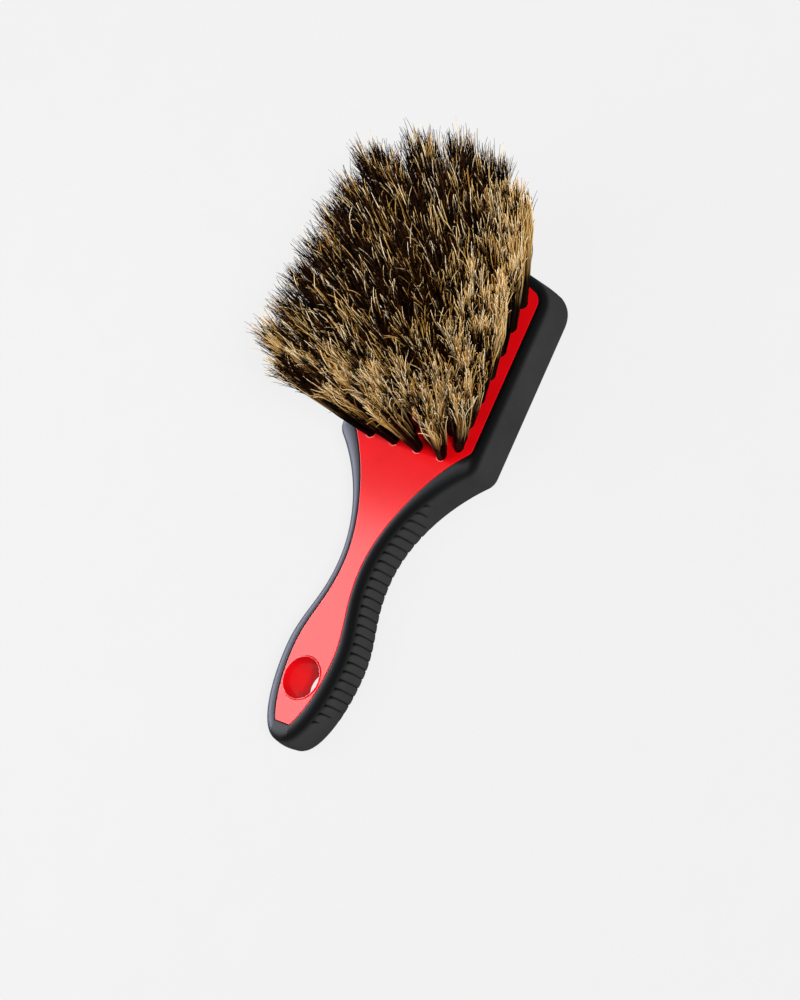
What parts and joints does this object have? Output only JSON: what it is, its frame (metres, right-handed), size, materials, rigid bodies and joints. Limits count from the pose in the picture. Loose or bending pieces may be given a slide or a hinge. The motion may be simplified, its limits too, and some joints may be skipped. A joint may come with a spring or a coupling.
{
  "type": "wheel brush",
  "caption": "Hand brush for washing wheels: waisted handle and wide head in one rigid block, rubber overmould round the edge, splayed natural hair tufts and a hanging hole in the handle.",
  "frame": {"origin": "on the block's back face, under the middle of the tuft field", "axes": "+X from the handle to the head along the object's length, +Z from the back face towards the bristles, +Y to the left when looking along +X with the bristles up"},
  "size_m": [0.2942, 0.1394, 0.0764],
  "materials": {
    "red_plastic": "bright red injection-moulded plastic, satin gloss",
    "black_rubber": "charcoal black soft rubber, fine matt with a soft sheen on the rolled edges",
    "bristle": "natural hair, dark brown to straw, flagged tips",
    "steel_wire": "flat galvanised wire"
  },
  "bodies": {
    "root": {"block_core": "red_plastic", "rubber_overmould": "black_rubber", "tuft_row01_1": "bristle", "tuft_row01_2": "bristle", "tuft_row01_3": "bristle", "tuft_row01_4": "bristle", "tuft_row02_1": "bristle", "tuft_row02_2": "bristle", "tuft_row02_4": "bristle", "tuft_row02_5": "bristle", "tuft_row03_1": "bristle", "tuft_row03_2": "bristle", "tuft_row03_3": "bristle", "tuft_row03_4": "bristle", "tuft_row04_1": "bristle", "tuft_row04_2": "bristle", "tuft_row04_4": "bristle", "tuft_row04_5": "bristle", "tuft_row05_1": "bristle", "tuft_row05_2": "bristle", "tuft_row05_3": "bristle", "tuft_row05_4": "bristle", "tuft_row06_1": "bristle", "tuft_row06_2": "bristle", "tuft_row06_4": "bristle", "tuft_row06_5": "bristle", "tuft_row07_1": "bristle", "tuft_row07_2": "bristle", "tuft_row07_3": "bristle", "tuft_row07_4": "bristle", "tuft_row08_1": "bristle", "tuft_row08_2": "bristle", "tuft_row08_4": "bristle", "tuft_row08_5": "bristle", "tuft_row09_1": "bristle", "tuft_row09_2": "bristle", "tuft_row09_3": "bristle", "tuft_row09_4": "bristle", "tuft_row10_1": "bristle", "tuft_row10_2": "bristle", "tuft_row10_4": "bristle", "tuft_row10_5": "bristle", "tuft_row11_1": "bristle", "tuft_row11_2": "bristle", "tuft_row11_3": "bristle", "tuft_row11_4": "bristle", "tuft_row12_1": "bristle", "tuft_row12_2": "bristle", "tuft_row12_4": "bristle", "tuft_row12_5": "bristle", "tuft_row13_1": "bristle", "tuft_row13_2": "bristle", "tuft_row13_3": "bristle", "tuft_row13_4": "bristle", "tuft_row14_1": "bristle", "tuft_row14_2": "bristle", "tuft_row14_4": "bristle", "tuft_row14_5": "bristle", "tufts_centreline": "bristle"}
  },
  "joints": []
}
